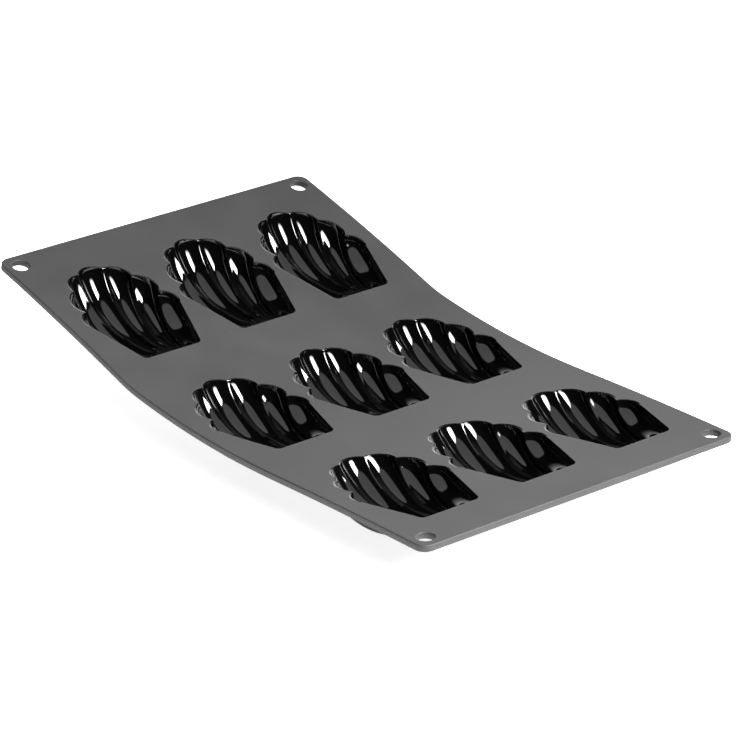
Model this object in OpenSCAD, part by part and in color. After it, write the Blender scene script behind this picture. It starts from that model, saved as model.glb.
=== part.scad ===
// Silicone madeleine mould with nine scallop shell cavities in three rows of three.
// The sheet lies bent as it does on a table: flat at the front, rising at the back.
// X runs across the sheet, Y from the front edge to the raised back edge, Z up.
// The origin is under the middle of the mould, on the surface that it stands on.

/* [Sheet] */
// Width of the sheet beside the shoulders of its outer cavities
side_margin = 9.5; // [7:0.5:20]
// Length of the sheet in front of the front row, and also behind the back row
end_margin = 21.591; // [18:0.001:40]
// Thickness of the sheet
sheet_t = 3; // [2:0.1:4]
// Radius of the four corners of the sheet
corner_r = 5; // [3:0.5:12]

/* [Hanging holes] */
// Diameter of the hole in each corner
hole_d = 8; // [4:0.5:10]
// Distance from the middle of a hole to both edges
hole_inset = 7.6; // [7:0.1:12]

/* [Layout of the cavities] */
// Distance between the cups of neighbouring columns, at their shoulders
cup_gap = 2.6; // [2.4:0.1:8]
// Distance between neighbouring rows, along the sheet
row_pitch = 94.5; // [92:0.5:100]
// Length along the sheet of the bare strip that bends between two rows
web_l = 14; // [8:0.5:18]

/* [Cavity outline] */
// Width of the flat narrow end
flat_w = 30.4; // [24:0.2:34]
// Radius of the two corners at the flat end
flat_corner_r = 2.5; // [1:0.1:4]
// Half the width at the shoulders, where the straight sides end
shoulder_x = 24; // [22:0.1:24.5]
// Distance from the flat end to the shoulders
shoulder_y = 28; // [24:0.2:30]
// Half the distance between the two outer notches
outer_notch_x = 20.1; // [18:0.1:21]
// Distance from the flat end to the outer notches
outer_notch_y = 39; // [36:0.2:42]
// Half the distance between the two middle notches
middle_notch_x = 16; // [14:0.1:17]
// Distance from the flat end to the middle notches
middle_notch_y = 54.4; // [52:0.2:56]
// Half the distance between the two notches beside the tip
inner_notch_x = 6.7; // [5.5:0.1:8]
// Distance from the flat end to the two notches beside the tip
inner_notch_y = 64.2; // [61:0.2:66]
// Bulge of each lobe between its notches, as a share of the distance between them
lobe_bulge = 0.27; // [0.15:0.01:0.32]

/* [Cavity depth] */
// Depth of the cavity below the top of the sheet
cavity_depth = 17; // [14:0.5:20]
// Depth of a flute below the ridges beside it, as a share of the distance between them
flute_bulge = 0.34; // [0.1:0.01:0.4]
// Place of the deepest point, as a share of the way from the flat end to the notches
deepest_share = 0.56; // [0.4:0.01:0.62]
// Arc that a ridge turns through from the flat end to its deepest point, in degrees
near_arc = 58; // [40:1:75]
// Arc that a ridge turns through from its deepest point to its notch, in degrees
far_arc = 52; // [40:1:75]
// Wall of the cup around the cavity
wall = 1.7; // [1.2:0.1:1.8]

/* [Bends at rest] */
// Bend of the sheet along the front row in degrees, plus for upwards
bend_front = -2; // [-6:0.1:-0.5]
// Bend of the strip behind the front row
bend_front_web = 1.3; // [0.5:0.1:12]
// Bend of the sheet along the middle row
bend_middle = 9.7; // [1:0.1:14]
// Bend of the strip behind the middle row
bend_back_web = 9; // [0.5:0.1:20]
// Bend of the sheet along the back row
bend_back = -4; // [-8:0.1:-0.5]

/* [Hidden] */

sheet_colour = [0.24, 0.24, 0.25];
cup_colour = [0.05, 0.05, 0.055];

// A shell has seven flutes, so eight ridges, counting its two straight sides
flutes = 7;
right_notches = [[shoulder_x, shoulder_y], [outer_notch_x, outer_notch_y],
    [middle_notch_x, middle_notch_y], [inner_notch_x, inner_notch_y]];
cavity_l = inner_notch_y + 2 * inner_notch_x * lobe_bulge;
// The ridges stand above the floor of the middle flute by its bulge
mid_flute_w = 2 * lerp(flat_w / flutes / 2, inner_notch_x, deepest_share);
ridge_depth = cavity_depth - flute_bulge * mid_flute_w;
// The outermost flutes end at a side wall and are shallower
side_flute_share = 0.76;
// The flutes fade out over this share of the run at the flat end
fade_share = 0.2;
// Ridges get lower towards the sides along this curve
ridge_power = 2.5;
ridge_round = 0.75;
// Facets of a cup: along each flute's width, and from the flat end to the notches
flute_steps = 4;
run_steps = 14;
across_steps = flutes * flute_steps;
// Facets of a corner at the flat end, and how far the middle cutter reaches into the lobes
corner_steps = 4;
lobe_overlap = 0.5;
// Each strip ends this far before the row behind it, which turns against it
seam_slit = 0.02;
// Each end of the sheet is a node of its own, and reaches this far past the hanging holes
edge_past_holes = 4;

// Rows and columns, and the sheet around them
column_pitch = 2 * (shoulder_x + wall) + cup_gap;
sheet_w = 2 * (column_pitch + shoulder_x + side_margin);
sheet_l = 2 * (row_pitch + end_margin) + cavity_l;
edge_l = hole_inset + hole_d / 2 + edge_past_holes;
function row_s(row) = end_margin + row * row_pitch;
function column_x(column) = (column - 1) * column_pitch;
function web_s(row) = row_s(row) + (row_pitch + cavity_l) / 2;

// Stretches of the sheet: front row, strip, middle row, strip, back row
ends = [0, web_s(0) - web_l / 2, web_s(0) + web_l / 2, web_s(1) - web_l / 2, web_s(1) + web_l / 2, sheet_l];
bends = [bend_front, bend_front_web, bend_middle, bend_back_web, bend_back];
function slope_before(i) = i == 0 ? 0 : slope_before(i - 1) + bends[i - 1];
function stretch_r(i) = (ends[i + 1] - ends[i]) / bends[i] * 180 / PI;
function arc_step(r, from, to) = r * [sin(to) - sin(from), cos(from) - cos(to)];
function start_of(i) = i == 0 ? [0, 0]
    : start_of(i - 1) + arc_step(stretch_r(i - 1), slope_before(i - 1), slope_before(i));
slopes = [for (i = [0:5]) slope_before(i)];
starts = [for (i = [0:5]) start_of(i)];

// Each station along the sheet's top gives its forward place, its height and its slope
function stretch_at(s, i = 4) = i == 0 || s >= ends[i] ? i : stretch_at(s, i - 1);
function slope_on(i, s) = slopes[i] + bends[i] * (s - ends[i]) / (ends[i + 1] - ends[i]);
function slope_at(s) = slope_on(stretch_at(s), s);
function top_at(s) = let (i = stretch_at(s)) starts[i] + arc_step(stretch_r(i), slopes[i], slope_at(s));
// A point across the sheet at x, along it at s, and below its top by d
function bent(x, s, d) = let (p = top_at(s), a = slope_at(s)) [x, p[0] + d * sin(a), p[1] - d * cos(a)];

// Shape of one cavity, in x, distance from the flat end, and depth
function lerp(a, b, f) = a + (b - a) * f;
function unit(v) = v / norm(v);
function plan(v) = [v[0], v[1]];
function ease(f) = let (g = min(max(f, 0), 1)) g * g * (3 - 2 * g);
function flat_point(k) = [flat_w * (k / flutes - 0.5), 0];
function notch(k) = k < 4 ? [-right_notches[k][0], right_notches[k][1]] : right_notches[7 - k];
function ridge_share(k) = pow(1 - pow(abs(2 * k / flutes - 1), ridge_power), ridge_round);
// A ridge goes down one arc and up another, and t runs from 0 to 1 with the deepest point halfway
function run_at(t) = t < 0.5 ? deepest_share * (1 - sin(near_arc * (1 - 2 * t)) / sin(near_arc))
    : lerp(deepest_share, 1, sin(far_arc * (2 * t - 1)) / sin(far_arc));
function fall_at(t) = t < 0.5 ? 1 - (1 - cos(near_arc * (1 - 2 * t))) / (1 - cos(near_arc))
    : 1 - (1 - cos(far_arc * (2 * t - 1))) / (1 - cos(far_arc));
function ridge(k, t) = let (p = lerp(flat_point(k), notch(k), run_at(t)))
    [p[0], p[1], ridge_depth * ridge_share(k) * fall_at(t)];
function between(k, t) = (ridge(k, t) + ridge(k + 1, t)) / 2;
// A flute bulges from the chord between its ridges: down at its floor, level at the rim
function level_dir(k) = let (c = notch(k + 1) - notch(k)) unit([-c[1], c[0], 0]);
function down_dir(k, t) = let (h = 0.01, along = between(k, min(t + h, 1)) - between(k, max(t - h, 0)),
    n = cross(along, ridge(k + 1, t) - ridge(k, t))) unit(n[2] < 0 ? -n : n);
function bulge_dir(k, t) = unit(lerp(down_dir(k, t), level_dir(k), pow(t, 8)));
function flute_share(k) = k == 0 || k == flutes - 1 ? side_flute_share : 1;
function bulge_share(k, t) = ease(t / fade_share)
    * lerp(flute_bulge * flute_share(k), lobe_bulge, ease(2 * t - 1));
// Height of a circular arc over its chord of length 1, where b is its height in the middle
function arc_over(b, u) = let (r = (0.25 + b * b) / (2 * b)) b - r + sqrt(r * r - (u - 0.5) * (u - 0.5));
// The flat end's two corners are arcs, each touching the flat end and a side
side_dir = unit([shoulder_x - flat_w / 2, shoulder_y]);
corner_turn = acos(side_dir[0]);
corner_run = flat_corner_r * tan(corner_turn / 2);
corner_start = flat_w / 2 - corner_run;
// The flat end moves onto those arcs, and what lies behind follows less and less
function corner_shift(x) = let (past = max(0, abs(x) - corner_start), turn = past / corner_run * corner_turn)
    [sign(x) * (flat_corner_r * sin(turn) - past), flat_corner_r * (1 - cos(turn)), 0];
function cavity_point(k, u, t) = let (a = ridge(k, t), b = ridge(k + 1, t), w = norm(b - a),
    share = max(bulge_share(k, t), 0.0001), shift = corner_shift(flat_w * ((k + u) / flutes - 0.5)))
    lerp(a, b, u) + w * arc_over(share, u) * bulge_dir(k, t) + pow(1 - t, 3) * shift;

// One surface of a cup as a grid of points, from the flat end and from the left
function flute_u(j) = (1 - cos(180 * (j % flute_steps) / flute_steps)) / 2;
function grid_point(i, j) = j == across_steps ? cavity_point(flutes - 1, 1, i / run_steps)
    : cavity_point(floor(j / flute_steps), flute_u(j), i / run_steps);
cavity_grid = [for (i = [0:run_steps]) [for (j = [0:across_steps]) grid_point(i, j)]];
// The cup starts under the sheet, so its depths are pressed together below the sheet
function under_sheet(p) = [p[0], p[1], sheet_t + p[2] * (1 - sheet_t / cavity_depth)];
// The outer surface lies one wall outwards, in the direction of an ellipsoid's normal
function outwards(p) = unit([p[0] / pow(shoulder_x, 2), (p[1] - cavity_l / 2) / pow(cavity_l / 2, 2),
    p[2] / pow(cavity_depth, 2)]);
inner_points = [for (row = cavity_grid) for (p = row) under_sheet(p)];
outer_points = [for (row = cavity_grid) for (p = row) under_sheet(p) + wall * outwards(p)];

// Faces of a cup: its inner grid, its outer grid and the flat strip that joins them at the rim
columns = across_steps + 1;
points_each = columns * (run_steps + 1);
function quad(a, b, c, d) = [[a, b, c], [a, c, d]];
inner_faces = [for (i = [0:run_steps - 1]) for (j = [0:across_steps - 1]) let (n = i * columns + j)
    for (f = quad(n, n + 1, n + columns + 1, n + columns)) f];
outer_faces = [for (f = inner_faces) [for (n = [2, 1, 0]) f[n] + points_each]];
rim = concat([for (j = [0:across_steps - 1]) j],
    [for (i = [0:run_steps - 1]) i * columns + across_steps],
    [for (j = [across_steps:-1:1]) run_steps * columns + j],
    [for (i = [run_steps:-1:1]) i * columns]);
rim_faces = [for (n = [0:len(rim) - 1]) let (a = rim[n], b = rim[(n + 1) % len(rim)])
    for (f = quad(b, a, a + points_each, b + points_each)) f];
cup_faces = concat(inner_faces, outer_faces, rim_faces);
// The mould stands on its lowest cup, with the middle of its length over the origin
function placed(row, x, p) = bent(x + p[0], row_s(row) + p[1], p[2]);
lowest = min([for (row = [0:2]) for (p = outer_points) placed(row, 0, p)[2]]);
back_edge = max([for (d = [0, sheet_t]) bent(0, sheet_l, d)[1]]);
module on_origin() {
    translate([0, -back_edge / 2, -lowest]) children();
}
// Puts what it is given on the sheet's top at x and s, square to the sheet
module on_sheet(x, s) {
    p = bent(x, s, 0);
    translate(p) rotate([slope_at(s), 0, 0]) children();
}

// The sheet of one stretch between two places along it, as a ring sector about a line across it
module band(i, from_s, to_s) {
    r = stretch_r(i);
    centre = starts[i] + r * [-sin(slopes[i]), cos(slopes[i])];
    turns = [slope_on(i, from_s), slope_on(i, to_s)];
    from = r > 0 ? turns[0] - 90 : turns[1] + 90;
    translate([0, centre[0], centre[1]]) rotate([90, 0, 90]) rotate([0, 0, from])
        rotate_extrude(angle = abs(turns[1] - turns[0]), $fn = ceil(360 / abs(bends[i])) * 16)
            translate([min(abs(r), abs(r + sheet_t)), -sheet_w / 2]) square([sheet_t, sheet_w]);
}
// The cutters that open the sheet over a cavity: a middle piece and seven round lobes
module cutter(x, y, r) {
    translate([x, y, -1.5 * sheet_t]) cylinder(r = r, h = 2 * sheet_t, $fn = 64);
}
// The middle piece has the flat end, its corners and the sides, and ends inside the lobes
function corner_point(side, turn) =
    [side * (corner_start + flat_corner_r * sin(turn)), flat_corner_r * (1 - cos(turn))];
function inside_lobes(k) = notch(k) - lobe_overlap * unit(notch(k) - [0, cavity_l / 2]);
function past_shoulder(side) =
    [side * (shoulder_x + lobe_overlap * side_dir[0]), shoulder_y + lobe_overlap * side_dir[1]];
module middle_cutter() {
    turns = [for (i = [0:corner_steps]) corner_turn * i / corner_steps];
    translate([0, 0, -1.5 * sheet_t]) linear_extrude(2 * sheet_t)
        polygon(concat([for (i = [0:corner_steps]) corner_point(1, turns[i])], [past_shoulder(1)],
            [for (k = [flutes - 1:-1:1]) inside_lobes(k)], [past_shoulder(-1)],
            [for (i = [corner_steps:-1:0]) corner_point(-1, turns[i])]));
}
module lobe_cutter(k) {
    width = norm(notch(k + 1) - notch(k));
    radius = width * (0.25 + pow(lobe_bulge, 2)) / (2 * lobe_bulge);
    middle = (notch(k) + notch(k + 1)) / 2 - (radius - width * lobe_bulge) * plan(level_dir(k));
    cutter(middle[0], middle[1], radius);
}
// Puts a cutter at each cavity of a row, square to the sheet at the cavity's middle
module at_cavities(row) {
    for (column = [0:2])
        on_sheet(column_x(column), row_s(row) + cavity_l / 2) translate([0, -cavity_l / 2, 0]) children();
}
// Lobes that lie side by side meet at a notch, so every second one is cut out at a time
module open_over(row) {
    difference() {
        difference() {
            difference() {
                children();
                at_cavities(row) middle_cutter();
            }
            at_cavities(row) for (k = [0:2:flutes - 1]) lobe_cutter(k);
        }
        at_cavities(row) for (k = [1:2:flutes - 1]) lobe_cutter(k);
    }
}
// The round of a corner meets both edges at a slight angle, so that it cuts them cleanly
corner_inset = 0.99 * corner_r;
// Takes off both corners at one end of the sheet, and bores the hole beside each
module end_cuts(s, away) {
    for (side = [-1, 1]) {
        on_sheet(side * (sheet_w / 2 - hole_inset), s + away * hole_inset)
            translate([0, 0, -1.5 * sheet_t]) cylinder(d = hole_d, h = 2 * sheet_t, $fn = 64);
        on_sheet(side * (sheet_w / 2 - corner_inset), s + away * corner_inset)
            mirror([side < 0 ? 1 : 0, 0, 0]) mirror([0, away < 0 ? 1 : 0, 0])
                translate([0, 0, -1.5 * sheet_t]) difference() {
                    translate([0, -2 * corner_r, 0]) cube([2 * corner_r, 2 * corner_r, 2 * sheet_t]);
                    translate([0, 0, -1]) cylinder(r = corner_r, h = 2 * sheet_t + 2, $fn = 64);
                }
    }
}
module edge_front() {
    color(sheet_colour) on_origin() difference() {
        band(0, 0, edge_l);
        end_cuts(0, 1);
    }
}
module sheet_front() {
    color(sheet_colour) on_origin() open_over(0) band(0, edge_l, ends[1]);
}
module flex_web_front() {
    color(sheet_colour) on_origin() band(1, ends[1], ends[2] - seam_slit);
}
module sheet_middle() {
    color(sheet_colour) on_origin() open_over(1) band(2, ends[2], ends[3]);
}
module flex_web_back() {
    color(sheet_colour) on_origin() band(3, ends[3], ends[4] - seam_slit);
}
module sheet_back() {
    color(sheet_colour) on_origin() open_over(2) band(4, ends[4], sheet_l - edge_l);
}
module edge_back() {
    color(sheet_colour) on_origin() difference() {
        band(4, sheet_l - edge_l, sheet_l);
        end_cuts(sheet_l, -1);
    }
}
module cup(row, column) {
    all_points = [for (p = concat(inner_points, outer_points)) placed(row, column_x(column), p)];
    color(cup_colour) on_origin() polyhedron(all_points, cup_faces);
}
module cup_front_left() {
    cup(0, 0);
}
module cup_front_centre() {
    cup(0, 1);
}
module cup_front_right() {
    cup(0, 2);
}
module cup_middle_left() {
    cup(1, 0);
}
module cup_middle_centre() {
    cup(1, 1);
}
module cup_middle_right() {
    cup(1, 2);
}
module cup_back_left() {
    cup(2, 0);
}
module cup_back_centre() {
    cup(2, 1);
}
module cup_back_right() {
    cup(2, 2);
}
sheet_front();
flex_web_front();
sheet_middle();
flex_web_back();
sheet_back();
cup_front_left();
cup_front_centre();
cup_front_right();
cup_middle_left();
cup_middle_centre();
cup_middle_right();
cup_back_left();
cup_back_centre();
cup_back_right();
edge_front();
edge_back();
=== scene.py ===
"""Silicone madeleine mould: a bent sheet in five stretches and nine scallop shell cups.

Lengths are in metres and angles in degrees. A flat place is given by x across the sheet,
s along it from the front edge, and the depth d below its top. The sheet's curve then turns
flat places into points of the frame.
"""

from __future__ import annotations

import logging
import math
from dataclasses import dataclass
from enum import Enum

import bmesh
import bpy
import numpy as np
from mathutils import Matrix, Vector
from mathutils.geometry import delaunay_2d_cdt

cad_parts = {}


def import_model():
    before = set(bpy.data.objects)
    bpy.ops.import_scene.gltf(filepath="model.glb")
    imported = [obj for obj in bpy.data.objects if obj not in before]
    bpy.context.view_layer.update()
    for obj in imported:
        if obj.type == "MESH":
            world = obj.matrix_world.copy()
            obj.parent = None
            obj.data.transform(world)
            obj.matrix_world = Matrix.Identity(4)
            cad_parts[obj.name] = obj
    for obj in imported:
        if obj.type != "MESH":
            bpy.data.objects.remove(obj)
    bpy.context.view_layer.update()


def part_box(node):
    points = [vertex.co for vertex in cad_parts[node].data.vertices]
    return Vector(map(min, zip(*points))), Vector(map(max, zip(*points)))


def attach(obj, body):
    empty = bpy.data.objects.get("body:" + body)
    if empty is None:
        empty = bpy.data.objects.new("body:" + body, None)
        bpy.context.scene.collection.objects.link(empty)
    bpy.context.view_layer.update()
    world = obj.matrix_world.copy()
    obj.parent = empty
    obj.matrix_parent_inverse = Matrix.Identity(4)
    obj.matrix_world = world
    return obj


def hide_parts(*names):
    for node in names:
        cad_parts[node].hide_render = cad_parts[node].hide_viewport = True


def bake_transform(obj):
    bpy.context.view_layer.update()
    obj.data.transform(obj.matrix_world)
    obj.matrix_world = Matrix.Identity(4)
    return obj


Values = float | np.ndarray
Pair = tuple[float, float]
Triple = tuple[float, float, float]
Colour = tuple[float, float, float, float]

LOG = logging.getLogger("madeleine_mould")
MM = 0.001
TINY = 1e-12
MERGE_DISTANCE = 1e-6
FILL_INSIDE = 1  # delaunay_2d_cdt then keeps the triangles inside the outlines
FILL_TOLERANCE = 1e-7
WEB_STEP = 1 * MM
WEB_FILL_STEP = 1.4 * MM


class Row(Enum):
    """A row of three cavities, numbered from the flat front edge."""

    FRONT = 0
    MIDDLE = 1
    BACK = 2

    @property
    def label(self) -> str:
        """The row's word in the names of pieces and bodies."""
        return self.name.lower()


class Column(Enum):
    """A column of three cavities, numbered from the left."""

    LEFT = 0
    CENTRE = 1
    RIGHT = 2

    @property
    def label(self) -> str:
        """The column's word in the names of pieces."""
        return self.name.lower()


class End(Enum):
    """How a piece of the sheet ends: at the sheet's own edge or against its neighbour."""

    FREE = "free"
    SEAM = "seam"


@dataclass(frozen=True)
class Layout:
    """Sizes of the sheet and places of the cavities on it."""

    width: float = 175 * MM
    length: float = 300 * MM
    thickness: float = 3 * MM
    corner_r: float = 5 * MM
    hole_d: float = 8 * MM
    hole_inset: float = 7.6 * MM
    column_pitch: float = 54 * MM
    row_pitch: float = 94.5 * MM
    web_length: float = 14 * MM
    cavity_length: float = 67.818 * MM
    bends: tuple[float, ...] = (-2.0, 1.3, 9.7, 9.0, -4.0)

    def row_start(self, row: Row) -> float:
        """Distance along the sheet to a row's flat ends."""
        first = (self.length - 2 * self.row_pitch - self.cavity_length) / 2
        return first + row.value * self.row_pitch

    def column_x(self, column: Column) -> float:
        """Place of a column across the sheet."""
        return (column.value - Column.CENTRE.value) * self.column_pitch

    def ends(self) -> np.ndarray:
        """Where the sheet's stretches begin and end.

        Returns:
            Six distances along the sheet from its front edge.
        """
        gap = (self.row_pitch + self.cavity_length) / 2
        webs = [self.row_start(row) + gap for row in (Row.FRONT, Row.MIDDLE)]
        half = self.web_length / 2
        return np.array([0, webs[0] - half, webs[0] + half, webs[1] - half, webs[1] + half, self.length])


class SheetCurve:
    """Carries flat places to the bent sheet, which is a chain of arcs that touch each other."""

    def __init__(self, layout: Layout, front: float, height: float) -> None:
        """Works out where each arc starts.

        Args:
            layout: sizes of the sheet.
            front: the frame's y at the front edge.
            height: the frame's z at the top of the front edge.
        """
        self.ends = layout.ends()
        self.turn = np.radians(layout.bends)
        self.slope = np.concatenate([[0.0], np.cumsum(self.turn)])
        self.radius = np.diff(self.ends) / self.turn
        steps_y = self.radius * (np.sin(self.slope[1:]) - np.sin(self.slope[:-1]))
        steps_z = self.radius * (np.cos(self.slope[:-1]) - np.cos(self.slope[1:]))
        self.start_y = front + np.concatenate([[0.0], np.cumsum(steps_y)])
        self.start_z = height + np.concatenate([[0.0], np.cumsum(steps_z)])

    def slope_at(self, s: np.ndarray) -> tuple[np.ndarray, np.ndarray]:
        """Finds the arc that a place is on, and the sheet's slope there.

        Args:
            s: distances along the sheet.

        Returns:
            The arcs' numbers and the slopes in radians.
        """
        arc = np.clip(np.searchsorted(self.ends, s, side="right") - 1, 0, len(self.turn) - 1)
        share = (s - self.ends[arc]) / (self.ends[arc + 1] - self.ends[arc])
        return arc, self.slope[arc] + self.turn[arc] * share

    def bent(self, flat: np.ndarray) -> np.ndarray:
        """Points of the frame for flat places.

        A place goes along its arc to s, and from there down by d at right angles to the sheet.

        Args:
            flat: array whose last axis holds x, s and d.

        Returns:
            An array of the same shape with x, y and z.
        """
        x, s, d = np.moveaxis(flat, -1, 0)
        arc, angle = self.slope_at(s)
        y = self.start_y[arc] + self.radius[arc] * (np.sin(angle) - np.sin(self.slope[arc]))
        z = self.start_z[arc] + self.radius[arc] * (np.cos(self.slope[arc]) - np.cos(angle))
        return np.stack([x, y + d * np.sin(angle), z - d * np.cos(angle)], axis=-1)

    def top(self, s: float) -> Triple:
        """The point on the sheet's top at s, in the middle of its width."""
        return tuple(float(v) for v in self.bent(np.array([0.0, s, 0.0])))


def unit(vectors: np.ndarray) -> np.ndarray:
    """Vectors of length 1 along the last axis."""
    return vectors / np.maximum(np.linalg.norm(vectors, axis=-1, keepdims=True), TINY)


def ease(f: np.ndarray) -> np.ndarray:
    """A smooth step from 0 to 1, as 3f squared less 2f cubed."""
    g = np.clip(f, 0, 1)
    return g * g * (3 - 2 * g)


def lerp(a: Values, b: Values, f: Values) -> Values:
    """The place at share f of the way from a to b."""
    return a + (b - a) * f


def crowded(count: int, share: float) -> np.ndarray:
    """Places from 0 to 1: a share of a half cosine wave, and even steps for the rest."""
    even = np.arange(count + 1) / count
    return lerp(even, (1 - np.cos(np.pi * even)) / 2, share)


def arc_radius(bulge: Values) -> Values:
    """Radius of an arc over a chord of length 1 that stands off it by the bulge."""
    return (0.5**2 + bulge**2) / (2 * bulge)


def with_depth(points: np.ndarray, depth: float) -> np.ndarray:
    """Adds a depth to an array of x and s."""
    return np.concatenate([points, np.full((len(points), 1), depth)], axis=1)


def right_of(path: np.ndarray) -> np.ndarray:
    """Directions square to an open path, to the right of its course."""
    along = unit(np.gradient(path, axis=0))
    return np.stack([along[:, 1], -along[:, 0]], -1)


@dataclass(frozen=True)
class Cavity:
    """Shape of one scallop shell cavity, as x, distance from its flat end and depth.

    Attributes:
        flat_w: width of its flat end, whose corners have the radius corner_r.
        shoulder: where its slanted side meets the outermost lobe. The notches follow.
        lobe_bulge, flute_bulge: how far a lobe and a flute stand out, as shares of their width.
        fade_share: the share of a flute in which its bulge grows from least_bulge.
        deepest_share: where along a ridge its deepest point is, between its two arcs.
        ridge_power, ridge_round: how the ridges' depth falls off from the middle to the sides.
        lip, side_lip: depth of the steep lip in the middle and at the side flutes.
        side_lip_range: flutes from the middle over which one lip turns into the other.
        crest: rounding of the ridges, as a share of a flute's width.
        side_skew, skew_power: how the outermost flutes lean outwards, and how late that ends.
        level_power: how late a flute's bulge turns level towards its lobe.
        across, along: the grid's cells for each flute.
        across_crowding, along_crowding: how much closer its lines are at the ends, up to 1.
        corner_power: how fast the flat end's rounded corners fade along the cavity.
        slip_power: how late the side of a wider rim bends to meet the outermost lobe.
        run_step: step by which the direction of a flute is measured.
    """

    flat_w: float = 30.4 * MM
    corner_r: float = 2.5 * MM
    shoulder: Pair = (24 * MM, 28 * MM)
    outer_notch: Pair = (20.1 * MM, 39 * MM)
    middle_notch: Pair = (16 * MM, 54.4 * MM)
    inner_notch: Pair = (6.7 * MM, 64.2 * MM)
    lobe_bulge: float = 0.27
    depth: float = 17 * MM
    flute_bulge: float = 0.34
    least_bulge: float = 0.0001
    fade_share: float = 0.2
    deepest_share: float = 0.56
    near_arc: float = 58.0
    far_arc: float = 52.0
    ridge_power: float = 2.5
    ridge_round: float = 0.75
    lip: float = 0.4 * MM
    side_lip: float = 2.2 * MM
    side_lip_range: Pair = (1.0, 2.5)
    lip_run: float = 0.4 * MM
    crest: float = 0.045
    side_skew: float = 2.0
    skew_power: int = 4
    level_power: float = 16.0
    corner_power: int = 3
    slip_power: int = 4
    flutes: int = 7
    across: int = 14
    along: int = 72
    across_crowding: float = 0.7
    along_crowding: float = 0.75
    run_step: float = 0.01

    def notch(self, k: int) -> np.ndarray:
        """Finds a notch of the rim.

        Args:
            k: number of the notch, from the left shoulder to the right one.

        Returns:
            Its x and y.
        """
        right = (self.shoulder, self.outer_notch, self.middle_notch, self.inner_notch)
        x, y = right[min(k, self.flutes - k)]
        return np.array([-x if k < len(right) else x, y])

    def ridge_depth(self) -> float:
        """Depth of the middle ridges, which stand above the middle flute by its bulge."""
        middle = 2 * lerp(self.flat_w / self.flutes / 2, self.inner_notch[0], self.deepest_share)
        return self.depth - self.flute_bulge * middle

    def ridge(self, k: int, t: np.ndarray) -> np.ndarray:
        """Places on ridge k, which goes down one arc to t = 0.5 and up another to its notch.

        Args:
            k: number of the ridge from the left, where 0 and 7 are the cavity's sides.
            t: shares of the way along it.

        Returns:
            An array of len(t) flat places.
        """
        early = t < 0.5
        full = np.radians(np.where(early, self.near_arc, self.far_arc))
        turn = full * np.abs(1 - 2 * t)
        run = lerp(self.deepest_share, np.where(early, 0.0, 1.0), np.sin(turn) / np.sin(full))
        fall = 1 - (1 - np.cos(turn)) / (1 - np.cos(full))
        flat = np.array([self.flat_w * (k / self.flutes - 0.5), 0.0])
        plan = lerp(flat, self.notch(k), run[..., None])
        spread = abs(2 * k / self.flutes - 1) ** self.ridge_power
        share = max(1 - spread, 0.0) ** self.ridge_round
        return np.concatenate([plan, (self.ridge_depth() * share * fall)[..., None]], axis=-1)

    def bulge_direction(self, k: int, t: np.ndarray) -> np.ndarray:
        """Directions in which flute k bulges: square to its run, and level at its lobe.

        Args:
            k: number of the flute from the left.
            t: shares of the way along it.

        Returns:
            An array of len(t) directions.
        """
        after, before = np.minimum(t + self.run_step, 1), np.maximum(t - self.run_step, 0)
        run = sum(self.ridge(j, after) - self.ridge(j, before) for j in (k, k + 1)) / 2
        down = np.cross(run, self.ridge(k + 1, t) - self.ridge(k, t))
        down = unit(down * np.where(down[:, 2:] < 0, -1.0, 1.0))
        chord = self.notch(k + 1) - self.notch(k)
        level = unit(np.array([-chord[1], chord[0], 0.0]))
        return unit(lerp(down, level, (t**self.level_power)[:, None]))

    def rise(self, k: int, u: np.ndarray, t: np.ndarray) -> np.ndarray:
        """How far flute k stands off the chord between its ridges, as a share of its width.

        It is a circular arc whose ends are rounded a little, which rounds the ridges' crests.

        Args:
            k: number of the flute from the left.
            u: shares of the way across the flute.
            t: shares of the way along it.

        Returns:
            An array of len(t) by len(u) shares.
        """
        fade = ease(t / self.fade_share)
        bulge = fade * lerp(self.flute_bulge, self.lobe_bulge, ease(2 * t - 1))
        bulge = np.maximum(bulge, self.least_bulge)[:, None]
        radius = arc_radius(bulge)
        place = lerp(self.skewed(k, u)[None], u[None], (t**self.skew_power)[:, None])
        height = bulge - radius + np.sqrt(radius**2 - (place - 0.5) ** 2)
        crest = self.crest * fade[:, None]
        return np.sqrt(height**2 + crest**2) - crest

    def flute(self, k: int, u: np.ndarray, t: np.ndarray) -> np.ndarray:
        """Surface of flute k, between two ridges and from the flat end to its lobe.

        A point lies on the chord between the ridges, moved by the rise in the direction of the
        bulge. Near the flat end it also moves with the corners, and at the rim it gets the lip.

        Args:
            k: number of the flute from the left.
            u: shares of the way across the flute.
            t: shares of the way along it.

        Returns:
            An array of len(t) by len(u) flat places.
        """
        a, b = self.ridge(k, t), self.ridge(k + 1, t)
        width = np.linalg.norm(b - a, axis=-1, keepdims=True)
        chords = lerp(a[:, None], b[:, None], u[None, :, None])
        arcs = (width * self.rise(k, u, t))[..., None] * self.bulge_direction(k, t)[:, None]
        shifts = ((1 - t) ** self.corner_power)[:, None, None] * self.corner_shift(k, u)[None]
        low, high = self.side_lip_range
        side = ease((np.abs(k + u - self.flutes / 2) - low) / (high - low))
        lips = lerp(self.lip, self.side_lip, side)[None, :, None]
        return self.lipped(chords + arcs + shifts, lips)

    def lipped(self, flat: np.ndarray, lip: np.ndarray) -> np.ndarray:
        """Makes the start of the fall from the rim a steep lip, and the rest a little shallower.

        The lip grows as one less e to the power of minus the depth over its run.

        Args:
            flat: flat places.
            lip: depth of the lip at each of them.

        Returns:
            The changed flat places.
        """
        d = flat[..., 2:]
        steep = lip * (1 - np.exp(-d / self.lip_run))
        return np.concatenate([flat[..., :2], d * (1 - lip / self.depth) + steep], -1)

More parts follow.
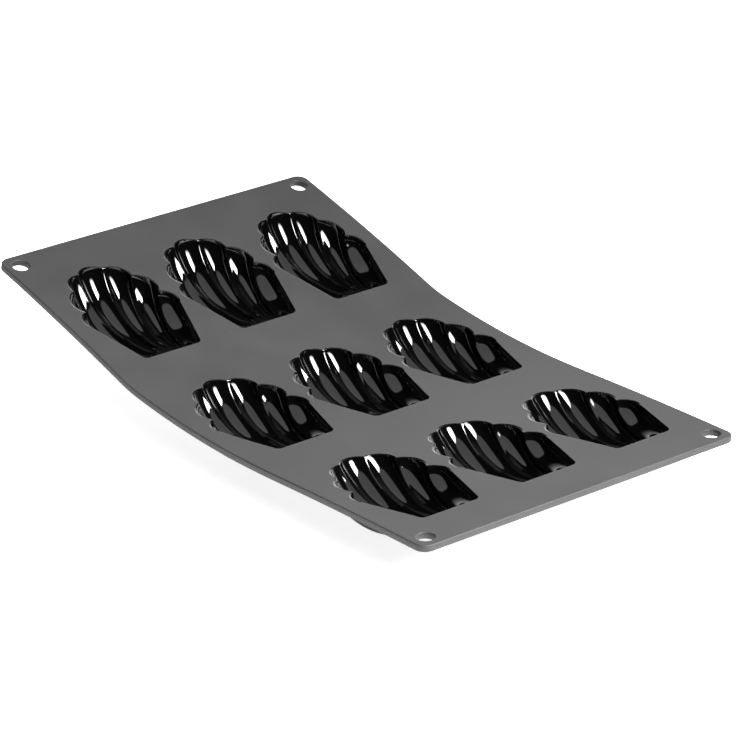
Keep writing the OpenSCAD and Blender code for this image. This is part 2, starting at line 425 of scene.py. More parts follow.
    def skewed(self, k: int, u: np.ndarray) -> np.ndarray:
        """Leans the outermost flutes outwards by a power, which makes their outer wall steep.

        Args:
            k: number of the flute from the left.
            u: shares of the way across the flute.

        Returns:
            The shares of the way across the arc.
        """
        if k == 0:
            return 1 - (1 - u) ** self.side_skew
        return u**self.side_skew if k == self.flutes - 1 else u

    def corner_shift(self, k: int, u: np.ndarray) -> np.ndarray:
        """Moves of the flat end that lay it on the arcs of its two corners.

        What lies past the start of a corner turns on its circle, by the share of its tangent.

        Args:
            k: number of the flute from the left.
            u: shares of the way across the flute.

        Returns:
            A move for each of them.
        """
        side = unit(np.array([self.shoulder[0] - self.flat_w / 2, self.shoulder[1]]))
        full = math.acos(side[0])
        run = self.corner_r * math.tan(full / 2)
        x = self.flat_w * ((k + u) / self.flutes - 0.5)
        past = np.maximum(0, np.abs(x) - (self.flat_w / 2 - run))
        turn = past / run * full
        sideways = np.sign(x) * (self.corner_r * np.sin(turn) - past)
        return np.stack([sideways, self.corner_r * (1 - np.cos(turn)), 0 * turn], -1)

    def shares(self) -> np.ndarray:
        """Places of the grid's lines across a flute, which are closer together at its ridges."""
        return crowded(self.across, self.across_crowding)

    def surface(self) -> np.ndarray:
        """Joins the flutes into one surface.

        Returns:
            A grid of flat places, from the flat end and from the left.
        """
        u, t = self.shares(), crowded(self.along, self.along_crowding)
        strips = [self.flute(k, u if k == self.flutes - 1 else u[:-1], t) for k in range(self.flutes)]
        return np.concatenate(strips, axis=1)

    def lobe(self, k: int) -> tuple[np.ndarray, float]:
        """Finds the circle that the edge of a lobe lies on.

        Args:
            k: number of the lobe from the left.

        Returns:
            The circle's centre and radius.
        """
        chord = self.notch(k + 1) - self.notch(k)
        width = float(np.linalg.norm(chord))
        radius = width * arc_radius(self.lobe_bulge)
        out = np.array([-chord[1], chord[0]]) / width
        return self.notch(k) + chord / 2 - (radius - width * self.lobe_bulge) * out, radius

    def grown_corner(self, k: int, offset: float) -> np.ndarray:
        """Where the two edges that meet at notch k cross once both have moved outwards.

        At a shoulder it is a line that crosses a circle, and elsewhere two circles that cross.

        Args:
            k: number of the notch, where 0 and 7 are the shoulders.
            offset: how far the edges have moved.

        Returns:
            The crossing's x and y.
        """
        if k in (0, self.flutes):
            side = 1 if k else -1
            centre, radius = self.lobe(k - 1 if k else 0)
            run = unit(np.array([side * (self.shoulder[0] - self.flat_w / 2), self.shoulder[1]]))
            start = self.notch(k) + offset * side * np.array([run[1], -run[0]]) - centre
            half = float(start @ run)
            root = math.sqrt(half**2 - float(start @ start) + (radius + offset) ** 2)
            return centre + start + run * min(root - half, -root - half, key=abs)
        (a, ra), (b, rb) = self.lobe(k - 1), self.lobe(k)
        apart = b - a
        d = float(np.linalg.norm(apart))
        along = ((ra + offset) ** 2 - (rb + offset) ** 2 + d**2) / (2 * d)
        off = math.sqrt((ra + offset) ** 2 - along**2)
        across = off * np.array([-apart[1], apart[0]]) / d
        found = [a + along * apart / d + across, a + along * apart / d - across]
        return min(found, key=lambda p: float(np.linalg.norm(p - self.notch(k))))

    def grown_lobe(self, k: int, offset: float) -> np.ndarray:
        """Moves the edge of a lobe outwards.

        Args:
            k: number of the lobe from the left.
            offset: how far the edge moves.

        Returns:
            Its x and y at the grid's places across the flute.
        """
        centre, radius = self.lobe(k)
        arms = self.flute(k, self.shares(), np.array([1.0]))[0, :, :2] - centre
        turn = np.unwrap(np.arctan2(arms[:, 1], arms[:, 0]))
        ends = [self.grown_corner(k + i, offset) - centre for i in (0, 1)]
        first, last = np.unwrap([math.atan2(v[1], v[0]) for v in ends])
        share = (turn - turn[0]) / (turn[-1] - turn[0])
        angle = lerp(first, last, share)
        return centre + (radius + offset) * np.stack([np.cos(angle), np.sin(angle)], -1)

    def rim_ring(self, offset: float) -> np.ndarray:
        """Moves the whole rim outwards.

        Args:
            offset: how far it moves.

        Returns:
            Its points' x and y, in the order of rim_of.
        """
        grid = self.surface()[..., :2]
        flat, right = grid[0], grid[:, -1]
        flat = flat + offset * right_of(flat)
        right = right + offset * right_of(right)
        slip = self.grown_corner(self.flutes, offset) - right[-1]
        right = right + np.linspace(0, 1, len(right))[:, None] ** self.slip_power * slip
        lobes = [self.grown_lobe(k, offset) for k in range(self.flutes)]
        top = np.concatenate([lobe[:-1] for lobe in lobes] + [lobes[-1][-1:]])
        left = right * np.array([-1.0, 1.0])
        return np.concatenate([left[:1], flat[1:-1], right[:-1], top[:0:-1], left[:0:-1]])

    def outwards(self, flat: np.ndarray) -> np.ndarray:
        """Directions out of the cavity, square to an ellipsoid of its length, width and depth.

        Args:
            flat: flat places.

        Returns:
            A direction for each of them.
        """
        length = self.inner_notch[1] + 2 * self.inner_notch[0] * self.lobe_bulge
        x, y, d = np.moveaxis(flat, -1, 0)
        parts = [x / self.shoulder[0] ** 2, (y - length / 2) / (length / 2) ** 2, d / self.depth**2]
        return unit(np.stack(parts, -1))


def rim_of(rows: int, columns: int) -> np.ndarray:
    """Indexes of a grid's outermost points, once round, anticlockwise seen from above."""
    grid = np.arange(rows * columns).reshape(rows, columns)
    return np.concatenate([grid[0, :-1], grid[:-1, -1], grid[-1, :0:-1], grid[:0:-1, 0]])


def grid_quads(rows: int, columns: int, first: int = 0) -> np.ndarray:
    """Faces between the neighbouring points of a grid.

    Args:
        rows: number of its rows.
        columns: number of its columns.
        first: index of its first point.

    Returns:
        An array of quads.
    """
    grid = first + np.arange(rows * columns).reshape(rows, columns)
    corners = [grid[:-1, :-1], grid[:-1, 1:], grid[1:, 1:], grid[1:, :-1]]
    return np.stack(corners, -1).reshape(-1, 4)


def band_quads(upper: np.ndarray, lower: np.ndarray) -> np.ndarray:
    """Faces between two closed rings of indexes, facing away from the side that is on the left."""
    return np.stack([upper, lower, np.roll(lower, -1), np.roll(upper, -1)], -1)


def line(a: Pair, b: Pair, step: float) -> np.ndarray:
    """Evenly spaced points of a straight line.

    Args:
        a: its first point.
        b: its last point, which is left out.
        step: distance from point to point, about.

    Returns:
        An array of points.
    """
    a, b = np.array(a), np.array(b)
    count = max(1, round(float(np.linalg.norm(b - a)) / step))
    return a + (b - a) * (np.arange(count) / count)[:, None]


def rounding(radius: float, steps: int) -> list[Pair]:
    """Quarter arc from level to upright, as pairs of distance inwards and distance down."""
    turns = [math.pi / 2 * i / steps for i in range(steps + 1)]
    return [(radius * (1 - math.sin(a)), radius * (1 - math.cos(a))) for a in turns]


def new_material(name: str) -> tuple[bpy.types.Material, Graph]:
    """Makes a material without nodes.

    Args:
        name: its name.

    Returns:
        The material, and the graph that its nodes are added to.
    """
    material = bpy.data.materials.new(name)
    material.use_nodes = True
    return material, Graph(material.node_tree)


def add_piece(
    name: str,
    points: np.ndarray,
    faces: list[tuple[np.ndarray, int]],
    materials: list[bpy.types.Material],
    smooth_angle: float,
) -> bpy.types.Object:
    """Makes a closed mesh object at the origin.

    Args:
        name: name of the piece.
        points: its points in the frame.
        faces: pairs of an array of faces and the number of their material.
        materials: its materials.
        smooth_angle: edges that turn further than this many degrees stay sharp.

    Returns:
        The object, linked to the scene.
    """
    mesh = bpy.data.meshes.new(name)
    polygons = [face for group, _ in faces for face in group.tolist()]
    slots = np.concatenate([np.full(len(group), number) for group, number in faces])
    mesh.from_pydata(points.reshape(-1, 3).tolist(), [], polygons)
    mesh.polygons.foreach_set("material_index", slots.astype(np.int32))
    mesh.polygons.foreach_set("use_smooth", np.ones(len(polygons), bool))
    for material in materials:
        mesh.materials.append(material)
    tidy = bmesh.new()
    tidy.from_mesh(mesh)
    bmesh.ops.remove_doubles(tidy, verts=tidy.verts, dist=MERGE_DISTANCE)
    bmesh.ops.dissolve_degenerate(tidy, edges=tidy.edges, dist=MERGE_DISTANCE)
    tidy.to_mesh(mesh)
    tidy.free()
    mesh.set_sharp_from_angle(angle=math.radians(smooth_angle))
    piece = bpy.data.objects.new(name, mesh)
    bpy.context.scene.collection.objects.link(piece)
    LOG.info("%s has %d faces", name, len(mesh.polygons))
    return piece


class Wire:
    """A shader value whose operators add the Math nodes of the expression."""

    def __init__(self, graph: Graph, socket: bpy.types.NodeSocket) -> None:
        """Wraps an output socket of the graph."""
        self.graph = graph
        self.socket = socket

    def __add__(self, other: Wire | float) -> Wire:
        """Sum."""
        return self.graph.math("ADD", self, other)

    __radd__ = __add__

    def __mul__(self, other: Wire | float) -> Wire:
        """Product."""
        return self.graph.math("MULTIPLY", self, other)

    __rmul__ = __mul__

    def __sub__(self, other: Wire | float) -> Wire:
        """Difference."""
        return self.graph.math("SUBTRACT", self, other)

    def __rsub__(self, other: Wire | float) -> Wire:
        """Difference from a number."""
        return self.graph.math("SUBTRACT", other, self)

    def between(self, low: float, high: float) -> Wire:
        """Share of the way from low to high, kept from 0 to 1."""
        return self.graph.math("DIVIDE", self - low, high - low, use_clamp=True)


class Graph:
    """A node tree that is written with few words."""

    def __init__(self, tree: bpy.types.NodeTree) -> None:
        """Empties the tree."""
        self.tree = tree
        tree.nodes.clear()

    def node(self, kind: str, settings: dict[str, object] | None = None, **values: object) -> bpy.types.Node:
        """Adds a node.

        Args:
            kind: the node's type without its ShaderNode prefix.
            settings: properties of the node, which are set first.
            values: numbers, colours or wires of its inputs, with spaces written as underscores.

        Returns:
            The node.
        """
        node = self.tree.nodes.new("ShaderNode" + kind)
        for key, value in (settings or {}).items():
            setattr(node, key, value)
        for key, value in values.items():
            self.feed(node.inputs[key.replace("_", " ")], value)
        return node

    def feed(self, socket: bpy.types.NodeSocket, value: object) -> None:
        """Sets a socket to a value, or links a wire to it.

        Args:
            socket: the input socket.
            value: a number, a colour or a wire.
        """
        if isinstance(value, Wire):
            self.tree.links.new(value.socket, socket)
        else:
            socket.default_value = value

    def joined(self, node: bpy.types.Node, values: dict[int, object], result: int = 0) -> Wire:
        """Feeds a node's inputs by their numbers.

        Args:
            node: the node.
            values: a number, a colour or a wire for each input's number.
            result: number of the output that is wanted.

        Returns:
            The wire from that output.
        """
        for number, value in values.items():
            self.feed(node.inputs[number], value)
        return Wire(self, node.outputs[result])

    def math(self, operation: str, a: Wire | float, b: Wire | float, **settings: object) -> Wire:
        """A Math node of two values."""
        return self.joined(self.node("Math", {"operation": operation, **settings}), {0: a, 1: b})

    def out(self, node: bpy.types.Node, name: str) -> Wire:
        """The wire from a node's named output."""
        return Wire(self, node.outputs[name])

    def noise(self, place: Wire, scale: float, detail: float) -> Wire:
        """Noise with so many features to the metre."""
        node = self.node("TexNoise", Vector=place, Scale=scale, Detail=detail)
        return self.out(node, "Fac")

    def mix(self, share: Wire, a: Wire | tuple, b: Wire | tuple) -> Wire:
        """A colour between two colours, by the numbers of a Mix node's colour sockets."""
        return self.joined(self.node("Mix", {"data_type": "RGBA"}), {0: share, 6: a, 7: b}, 2)


@dataclass(frozen=True)
class SatinSilicone:
    """The sheet's finish: fine matte grain with faint clouds and a few specks of dust."""

    dark: Colour = (0.016, 0.016, 0.016, 1)
    light: Colour = (0.023, 0.023, 0.023, 1)
    dust: Colour = (0.1, 0.1, 0.1, 1)
    roughness: float = 0.6
    grain_per_m: float = 2600
    grain_roughness: float = 0.05
    cloud_per_m: float = 38
    cloud_range: Pair = (0.3, 0.7)
    cloud_roughness: float = 0.06
    dust_per_m: float = 900
    dust_range: Pair = (0.79, 0.83)
    dust_share: float = 0.6
    bump_strength: float = 0.35
    bump_depth: float = 0.04 * MM

    def material(self) -> bpy.types.Material:
        """Builds the material.

        Returns:
            The new material.
        """
        material, g = new_material("satin_silicone")
        place = g.out(g.node("TexCoord"), "Object")
        clouds = g.noise(place, self.cloud_per_m, detail=4).between(*self.cloud_range)
        grain = g.noise(place, self.grain_per_m, detail=2)
        specks = g.noise(place, self.dust_per_m, detail=1).between(*self.dust_range)
        clean = g.mix(clouds, self.dark, self.light)
        uneven = self.cloud_roughness * (clouds - 0.5) + self.grain_roughness * (grain - 0.5)
        bump = g.node("Bump", Strength=self.bump_strength, Distance=self.bump_depth, Height=grain)
        shader = g.node(
            "BsdfPrincipled",
            Base_Color=g.mix(specks * self.dust_share, clean, self.dust),
            Roughness=self.roughness + uneven,
            Normal=g.out(bump, "Normal"),
        )
        g.node("OutputMaterial", Surface=g.out(shader, "BSDF"))
        return material


@dataclass(frozen=True)
class GlossSilicone:
    """The cavities' finish: polished, nearly black, with a faint waviness and smears."""

    colour: Colour = (0.0008, 0.0008, 0.00085, 1)
    roughness: float = 0.045
    wave_per_m: float = 160
    smear_per_m: float = 55
    smear_range: Pair = (0.45, 0.8)
    smear_roughness: float = 0.035
    bump_strength: float = 0.12
    bump_depth: float = 0.3 * MM

    def material(self) -> bpy.types.Material:
        """Builds the material.

        Returns:
            The new material.
        """
        material, g = new_material("gloss_silicone")
        place = g.out(g.node("TexCoord"), "Object")
        waves = g.noise(place, self.wave_per_m, detail=1)
        smears = g.noise(place, self.smear_per_m, detail=3).between(*self.smear_range)
        bump = g.node("Bump", Strength=self.bump_strength, Distance=self.bump_depth, Height=waves)
        shader = g.node(
            "BsdfPrincipled",
            Base_Color=self.colour,
            Roughness=self.roughness + self.smear_roughness * smears,
            Normal=g.out(bump, "Normal"),
        )
        g.node("OutputMaterial", Surface=g.out(shader, "BSDF"))
        return material


@dataclass(frozen=True)
class PaleFloor:
    """The studio's pale table that the mould lies on. It glows, which softens the shadow."""

    colour: Colour = (0.85, 0.85, 0.85, 1)
    roughness: float = 0.7
    glow_colour: Colour = (1, 1, 1, 1)
    glow: float = 0.85
    half_size: float = 3.0

    def add(self) -> None:
        """Adds the floor."""
        material, g = new_material("pale_floor")
        shader = g.node(
            "BsdfPrincipled",
            Base_Color=self.colour,
            Roughness=self.roughness,
            Emission_Color=self.glow_colour,
            Emission_Strength=self.glow,
        )
        g.node("OutputMaterial", Surface=g.out(shader, "BSDF"))
        h = self.half_size
        corners = np.array([[-h, -h, 0], [h, -h, 0], [h, h, 0], [-h, h, 0]])
        mesh = bpy.data.meshes.new("floor")
        mesh.from_pydata(corners.tolist(), [], [(0, 1, 2, 3)])
        mesh.materials.append(material)
        floor = bpy.data.objects.new("floor", mesh)
        bpy.context.scene.collection.objects.link(floor)


@dataclass(frozen=True)
class Cup:
    """One cup: its polished cavity, its rounded rim and the wall that hangs below the sheet.

    Attributes:
        rim: how far the rounding of the rim reaches outwards from the cavity.
        rim_slope: the rounding's slope in degrees where it meets the cavity.
        crease: edges that turn further than this many degrees stay sharp.
    """

    layout: Layout
    cavity: Cavity
    row: Row
    column: Column
    wall: float = 1.7 * MM
    rim: float = 0.25 * MM
    rim_steps: int = 4
    rim_slope: float = 60.0
    crease: float = 50.0

    def rim_fall(self) -> float:
        """How far the rounding of the rim goes down."""
        return self.rim * math.tan(math.radians(self.rim_slope / 2))

    def placed(self, flat: np.ndarray) -> np.ndarray:
        """Moves flat places of a cavity to this cup's place on the sheet."""
        return flat + np.array([self.layout.column_x(self.column), self.layout.row_start(self.row), 0.0])

    def outline(self) -> np.ndarray:
        """The loop where this cup's rim meets the sheet's top, as x and s."""
        return self.cavity.rim_ring(self.rim) + self.placed(np.zeros(3))[:2]

    def outer(self, grid: np.ndarray) -> np.ndarray:
        """Presses the cavity below the sheet and pushes it outwards by the wall.

        Its depth shrinks to what lies below the sheet, and its edge stays on the underside.

        Args:
            grid: the cavity's surface.

        Returns:
            The cup's outer surface as a grid of the same shape.
        """
        t = self.layout.thickness
        pressed = grid.copy()
        pressed[..., 2] = t + grid[..., 2] * (1 - t / self.cavity.depth)
        moved = (pressed + self.wall * self.cavity.outwards(pressed)).reshape(-1, 3)
        moved[rim_of(*grid.shape[:2]), 2] = t
        return moved.reshape(grid.shape)

    def rim_rings(self) -> list[np.ndarray]:
        """Rounds the rim with an arc that is level at the sheet's top and sloped at the cavity.

        Returns:
            Rings of flat places, from the sheet's top down towards the cavity.
        """
        full = math.radians(self.rim_slope)
        rings = []
        for angle in full * np.arange(self.rim_steps) / self.rim_steps:
            ring = self.cavity.rim_ring(self.rim * (1 - math.sin(angle) / math.sin(full)))
            fall = self.rim_fall() * (1 - math.cos(angle)) / (1 - math.cos(full))
            rings.append(with_depth(ring, fall))
        return rings

    def build(
        self, curve: SheetCurve, gloss: bpy.types.Material, satin: bpy.types.Material
    ) -> bpy.types.Object:
        """Makes the cup's closed mesh.

        Args:
            curve: the bent sheet.
            gloss: finish of the cavity and its rim.
            satin: finish of the outside.

        Returns:
            The finished piece, riding on its row.
        """
        grid = self.cavity.surface()
        rows, columns = grid.shape[:2]
        rim = rim_of(rows, columns)
        inner = grid.copy()
        inner[..., 2] = np.hypot(grid[..., 2], self.rim_fall())
        rings = self.rim_rings()
        foot = rings[0] + np.array([0.0, 0.0, self.layout.thickness])
        parts = [inner.reshape(-1, 3), self.outer(grid).reshape(-1, 3), *rings, foot]
        starts = np.cumsum([0] + [len(part) for part in parts])
        ring_ids = [starts[2 + i] + np.arange(len(rim)) for i in range(self.rim_steps + 1)]
        foot_ids = ring_ids.pop()
        inside = [grid_quads(rows, columns)]
        inside += [band_quads(b, a) for a, b in zip(ring_ids, ring_ids[1:] + [rim])]
        outside = [grid_quads(rows, columns, starts[1])[:, ::-1]]
        outside += [band_quads(ring_ids[0], foot_ids), band_quads(foot_ids, rim + starts[1])]
        faces = [(np.concatenate(inside), 0), (np.concatenate(outside), 1)]
        points = curve.bent(self.placed(np.concatenate(parts)))
        node = f"cup_{self.row.label}_{self.column.label}"
        name = f"shell_{self.row.label}_{self.column.label}"
        piece = add_piece(name, points, faces, [gloss, satin], self.crease)
        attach(piece, f"row_{self.row.label}")
        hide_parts(node)
        return piece


@dataclass(frozen=True)
class SheetPiece:
    """One stretch of the sheet: a plate with rounded edges, and openings over its cavities.

    Attributes:
        support: width of the narrow strip beside a rounded edge.
        step, fill_step: distance between points along its outline and inside it.
        crease: edges that turn further than this many degrees stay sharp.
    """

    layout: Layout
    name: str
    start: float
    stop: float
    first_end: End
    last_end: End
    cups: tuple[Cup, ...] = ()
    top_round: float = 0.5 * MM
    bottom_round: float = 0.3 * MM
    top_steps: int = 4
    bottom_steps: int = 3
    corner_steps: int = 12
    hole_sides: int = 48
    support: float = 0.25 * MM
    step: float = 2 * MM
    fill_step: float = 3 * MM
    crease: float = 35.0

    def profile(self) -> list[Pair]:
        """Section of a rounded edge.

        Both rounds are quarter arcs, and a narrow flat strip on either side keeps the
        shading of the wide faces even.

        Returns:
            Pairs of distance inwards and depth, from the top down.
        """
        t = self.layout.thickness
        upper = rounding(self.top_round, self.top_steps)
        rounded = reversed(rounding(self.bottom_round, self.bottom_steps))
        lower = [(inwards, t - down) for inwards, down in rounded]
        first = (self.top_round + self.support, 0.0)
        return [first, *upper, *lower, (self.bottom_round + self.support, t)]

    def corner(self, x: float, s: float, first: float) -> tuple[np.ndarray, np.ndarray]:
        """Rounds a corner of the sheet with a quarter circle.

        Args:
            x: the arc's centre across the sheet.
            s: the arc's centre along it.
            first: direction of the arc's first point from the centre, in degrees.

        Returns:
            The arc's points without its last, and the directions inwards.
        """
        angle = np.radians(np.linspace(first, first + 90, self.corner_steps + 1))[:-1]
        out = np.stack([np.cos(angle), np.sin(angle)], -1)
        return np.array([x, s]) + self.layout.corner_r * out, -out

    def border(self) -> tuple[np.ndarray, np.ndarray]:
        """The piece's outline.

        Returns:
            Its points, anticlockwise, and how each moves inwards along a profile. At a seam
            they stay where they are, but for the two at the sheet's sides.
        """
        w, r = self.layout.width / 2, self.layout.corner_r
        parts: list[tuple[np.ndarray, np.ndarray]] = []

        def run(a: Pair, b: Pair, inwards: Pair) -> None:
            """Adds a straight run with one direction inwards."""
            points = line(a, b, self.step)
            parts.append((points, np.tile(np.array(inwards, float), (len(points), 1))))

        def end(kind: End, s: float, side: int, turn: float) -> None:
            """Adds one end of the piece, from side to side.

            Args:
                kind: how the piece ends there.
                s: the end's distance along the sheet.
                side: 1 for the first end and -1 for the last.
                turn: direction of its first corner's first point, in degrees.
            """
            if kind is End.FREE:
                parts.append(self.corner(side * (r - w), s + side * r, turn))
                run((side * (r - w), s), (side * (w - r), s), (0, side))
                parts.append(self.corner(side * (w - r), s + side * r, turn + 90))
            else:
                run((-side * w, s), (side * w, s), (0, 0))
                parts[-1][1][0] = (side, 0)

        low = self.start + (r if self.first_end is End.FREE else 0)
        high = self.stop - (r if self.last_end is End.FREE else 0)
        end(self.first_end, self.start, 1, 180)
        run((w, low), (w, high), (-1, 0))
        end(self.last_end, self.stop, -1, 0)
        run((-w, high), (-w, low), (1, 0))
        return np.concatenate([p for p, _ in parts]), np.concatenate([d for _, d in parts])

    def holes(self) -> list[tuple[np.ndarray, np.ndarray]]:
        """The hanging holes.

        Returns:
            For each of them its loop of points, clockwise, and the directions into the sheet.
        """
        inset, radius = self.layout.hole_inset, self.layout.hole_d / 2
        places = []
        if self.first_end is End.FREE:
            places.append(self.start + inset)
        if self.last_end is End.FREE:
            places.append(self.stop - inset)
        angle = -2 * np.pi * np.arange(self.hole_sides) / self.hole_sides
        out = np.stack([np.cos(angle), np.sin(angle)], -1)
        x = self.layout.width / 2 - inset
        return [(np.array([side * x, s]) + radius * out, out) for s in places for side in (-1, 1)]

    def loops(self) -> list[list[np.ndarray]]:
        """Every edge of the piece.

        Returns:
            For each of them its rings of flat places, from top to bottom.
        """
        made = []
        for points, inwards in [self.border(), *self.holes()]:
            made.append([with_depth(points + offset * inwards, depth) for offset, depth in self.profile()])
        for cup in self.cups:
            outline = cup.outline()[::-1]
            made.append([with_depth(outline, 0.0), with_depth(outline, self.layout.thickness)])
        return made

    def inside_points(self) -> np.ndarray:
        """Spreads places between the edges.

        Returns:
            An even grid of x and s, in staggered rows.
        """
        w = self.layout.width / 2
        xs = np.arange(-w + 2 * self.step, w - self.step, self.fill_step)
        ss = np.arange(self.start + self.step, self.stop - self.step / 2, self.fill_step)
        x, s = np.meshgrid(xs, ss)
        x = x + (np.arange(len(ss)) % 2)[:, None] * self.fill_step / 2
        return np.stack([x, s], -1).reshape(-1, 2)

    def fill(self, rings: list[list[np.ndarray]]) -> tuple[np.ndarray, np.ndarray, np.ndarray]:
        """Fills the top between its edges with triangles.

        Args:
            rings: the rings of every loop.

        Returns:
            The places of the fill's points, its triangles, and the fill's index of each loop point.
        """
        loops = [group[0][:, :2] for group in rings]
        starts = np.cumsum([0] + [len(loop) for loop in loops])
        points = np.concatenate([*loops, self.inside_points()])
        outlines = [list(range(a, b)) for a, b in zip(starts[:-1], starts[1:])]
        outlines = [outlines[0]] + [outline[::-1] for outline in outlines[1:]]
        vectors = [Vector(p) for p in points]
        result = delaunay_2d_cdt(vectors, [], outlines, FILL_INSIDE, FILL_TOLERANCE)
        places, _, triangles, sources, _, owners = result
        # The first outline is the border, and a triangle that another one owns is in an opening.
        kept = [tri for tri, owner in zip(triangles, owners) if owner and all(n == 0 for n in owner)]
        index = np.full(len(points), -1)
        for new, olds in enumerate(sources):
            index[olds] = new
        return np.array([tuple(p) for p in places]), np.array(kept), index[: starts[-1]]

    def build(self, curve: SheetCurve, satin: bpy.types.Material) -> bpy.types.Object:
        """Makes the piece's closed mesh: a filled top, its copy below and walls round every edge.

        Args:
            curve: the bent sheet.
            satin: the sheet's finish.

        Returns:
            The finished piece.
        """
        rings = self.loops()
        places, triangles, index = self.fill(rings)
        top = with_depth(places, 0.0)
        bottom = with_depth(places, self.layout.thickness)
        parts, bands, seen = [top, bottom], [], 0
        count = 2 * len(places)
        for group in rings:
            size = len(group[0])
            ids = index[seen : seen + size]
            bottom[ids] = group[-1]
            chain = [ids]
            for ring in group[1:-1]:
                chain.append(count + np.arange(size))
                parts.append(ring)
                count += size
            chain.append(ids + len(places))
            bands += [band_quads(a, b) for a, b in zip(chain, chain[1:])]
            seen += size
        faces = [(triangles, 0), (triangles[:, ::-1] + len(places), 0), (np.concatenate(bands), 0)]
        points = curve.bent(np.concatenate(parts))
        piece = add_piece(self.name, points, faces, [satin], self.crease)
        return piece


class Mould:
    """The whole moulding: three rows, two strips between them and nine cups."""

    def __init__(self, layout: Layout, cavity: Cavity) -> None:
        """Places the sheet's curve by the frame's front edge, and makes the two finishes.

        Args:
            layout: sizes of the sheet.
            cavity: shape of the cavities.
        """
        self.layout = layout
        self.cavity = cavity
        low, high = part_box("edge_front")
        self.curve = SheetCurve(layout, front=low[1], height=high[2])
        self.satin = SatinSilicone().material()
        self.gloss = GlossSilicone().material()

    def add_row(self, row: Row) -> None:
        """Adds a row's cups and the sheet around them.

        Args:
            row: the row.
        """
        ends = self.layout.ends()
        first = End.FREE if row is Row.FRONT else End.SEAM
        last = End.FREE if row is Row.BACK else End.SEAM
        cups = tuple(Cup(self.layout, self.cavity, row, column) for column in Column)
        for cup in cups:
            cup.build(self.curve, self.gloss, self.satin)
        name = f"plate_{row.label}"
        stretch = 2 * row.value
        sheet = SheetPiece(self.layout, name, ends[stretch], ends[stretch + 1], first, last, cups)
        piece = sheet.build(self.curve, self.satin)
        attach(piece, f"row_{row.label}")
        nodes = [f"sheet_{row.label}"]
        if row is not Row.MIDDLE:
            nodes.append(f"edge_{row.label}")
        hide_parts(*nodes)

    def add_web(self, before: Row, node: str) -> None:
        """Adds the strip between two rows.

        Args:
            before: the row in front of the strip.
            node: the frame's node that it stands for.
        """
        ends = self.layout.ends()
        start, stop = ends[2 * before.value + 1], ends[2 * before.value + 2]
        name, seams = f"strip_{before.label}", (End.SEAM, End.SEAM)
        strip = SheetPiece(self.layout, name, start, stop, *seams, step=WEB_STEP, fill_step=WEB_FILL_STEP)
        piece = strip.build(self.curve, self.satin)
        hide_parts(node)
        self.curve.top(start)
        self.curve.top(stop)
        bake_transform(piece)

    def build(self) -> None:
        """Adds every piece."""
        for row in Row:
            self.add_row(row)
        self.add_web(Row.FRONT, "flex_web_front")
        self.add_web(Row.MIDDLE, "flex_web_back")


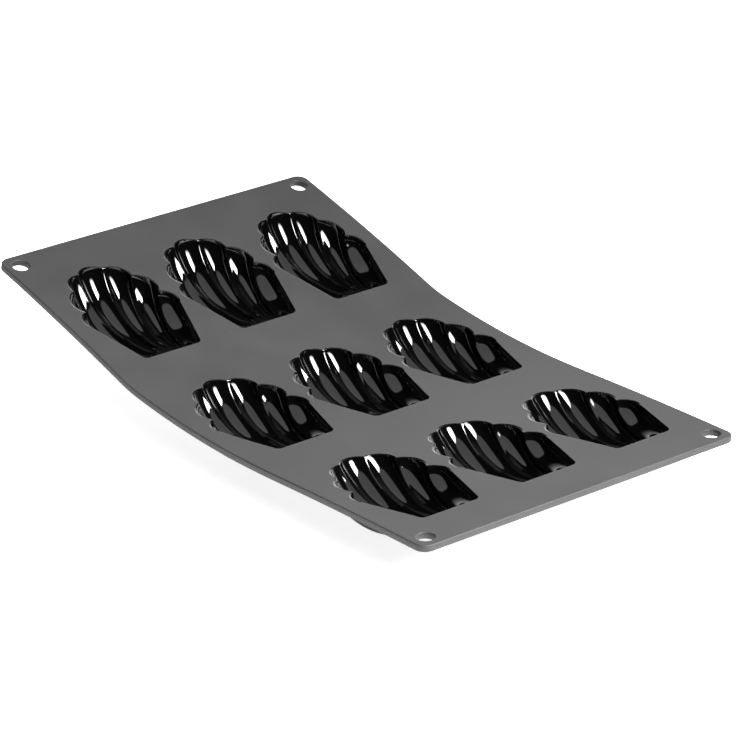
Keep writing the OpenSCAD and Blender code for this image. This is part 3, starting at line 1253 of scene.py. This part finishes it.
@dataclass(frozen=True)
class Studio:
    """Camera, floor and lights: one strip light in a dim room with a low bright backdrop.

    Headings are in degrees clockwise from the frame's y axis, seen from above.

    Attributes:
        camera_fall: how far the camera looks down, in degrees.
        strip_height: the strip light's height above the horizon, in degrees.
        strip_spread: angle of its beam, which lights the mould's front more than its back.
        backdrop, wall, ceiling, room: brightness of the backdrop, of the wall above it, of the
            ceiling, and of everything else.
        backdrop_range: how far ahead a direction points where the backdrop begins and is full.
        wall_range: how far up a direction points where the backdrop turns into the wall.
        ceiling_range: the same for the ceiling.
        seen: the white that the camera sees in place of the room.
    """

    camera_place: Triple = (-1.0495, -1.27593, 0.73043)
    camera_heading: float = 39.61
    camera_fall: float = 23.12
    lens: float = 200.5
    sensor: float = 36.0
    strip_heading: float = 162.5
    strip_height: float = 37.5
    strip_distance: float = 1.2
    strip_size: Pair = (0.5, 0.9)
    strip_power: float = 8.0
    strip_spread: float = 45.0
    strip_aim: Triple = (0.0, -0.25, 0.0)
    backdrop_heading: float = 55.0
    backdrop: float = 2.4
    wall: float = 0.25
    ceiling: float = 1.25
    room: float = 0.02
    backdrop_range: Pair = (0.62, 0.85)
    wall_range: Pair = (0.38, 0.55)
    ceiling_range: Pair = (0.85, 0.875)
    seen: Colour = (0.9, 0.9, 0.9, 1)

    def add_camera(self) -> None:
        """Adds the camera at the photograph's place and angle."""
        data = bpy.data.cameras.new("camera")
        data.sensor_width = self.sensor
        data.lens = self.lens
        camera = bpy.data.objects.new("camera", data)
        camera.location = self.camera_place
        camera.rotation_euler = (math.radians(90 - self.camera_fall), 0, math.radians(-self.camera_heading))
        bpy.context.scene.collection.objects.link(camera)
        bpy.context.scene.camera = camera

    def add_strip(self) -> None:
        """Adds the strip light, which is aimed in front of the mould."""
        data = bpy.data.lights.new("strip", "AREA")
        data.shape = "RECTANGLE"
        data.size, data.size_y = self.strip_size
        data.energy = self.strip_power
        data.spread = math.radians(self.strip_spread)
        light = bpy.data.objects.new("strip", data)
        heading, height = math.radians(self.strip_heading), math.radians(self.strip_height)
        level = math.cos(height)
        place = Vector((math.sin(heading) * level, math.cos(heading) * level, math.sin(height)))
        light.location = place * self.strip_distance
        aim = Vector(self.strip_aim) - light.location
        light.rotation_euler = aim.to_track_quat("-Z", "Y").to_euler()
        bpy.context.scene.collection.objects.link(light)

    def add_world(self) -> None:
        """Adds the room that the mould reflects, and the white behind it that the camera sees."""
        world = bpy.data.worlds.new("room")
        world.use_nodes = True
        bpy.context.scene.world = world
        g = Graph(world.node_tree)
        parts = g.node("SeparateXYZ", Vector=g.out(g.node("TexCoord"), "Generated"))
        x, y, z = (g.out(parts, axis) for axis in "XYZ")
        heading = math.radians(self.backdrop_heading)
        ahead = (x * math.sin(heading) + y * math.cos(heading)).between(*self.backdrop_range)
        above = z.between(*self.ceiling_range)
        low = 1 - z.between(*self.wall_range)
        level = low * (self.backdrop - self.wall) + self.wall
        light = ahead * (1 - above) * level + above * self.ceiling + self.room
        room, seen = (g.node("Background", Color=colour) for colour in (light, self.seen))
        direct = g.out(g.node("LightPath"), "Is Camera Ray")
        shaders = {1: g.out(room, "Background"), 2: g.out(seen, "Background")}
        g.node("OutputWorld", Surface=g.joined(g.node("MixShader"), {0: direct, **shaders}))

    def build(self) -> None:
        """Adds everything that isn't the object."""
        bpy.context.scene.view_settings.view_transform = "Standard"
        self.add_camera()
        self.add_strip()
        self.add_world()
        PaleFloor().add()


def main() -> None:
    """Loads the frame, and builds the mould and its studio."""
    logging.basicConfig(level=logging.INFO, format="%(message)s")
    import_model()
    Mould(Layout(), Cavity()).build()
    Studio().build()


if __name__ == "__main__":
    main()
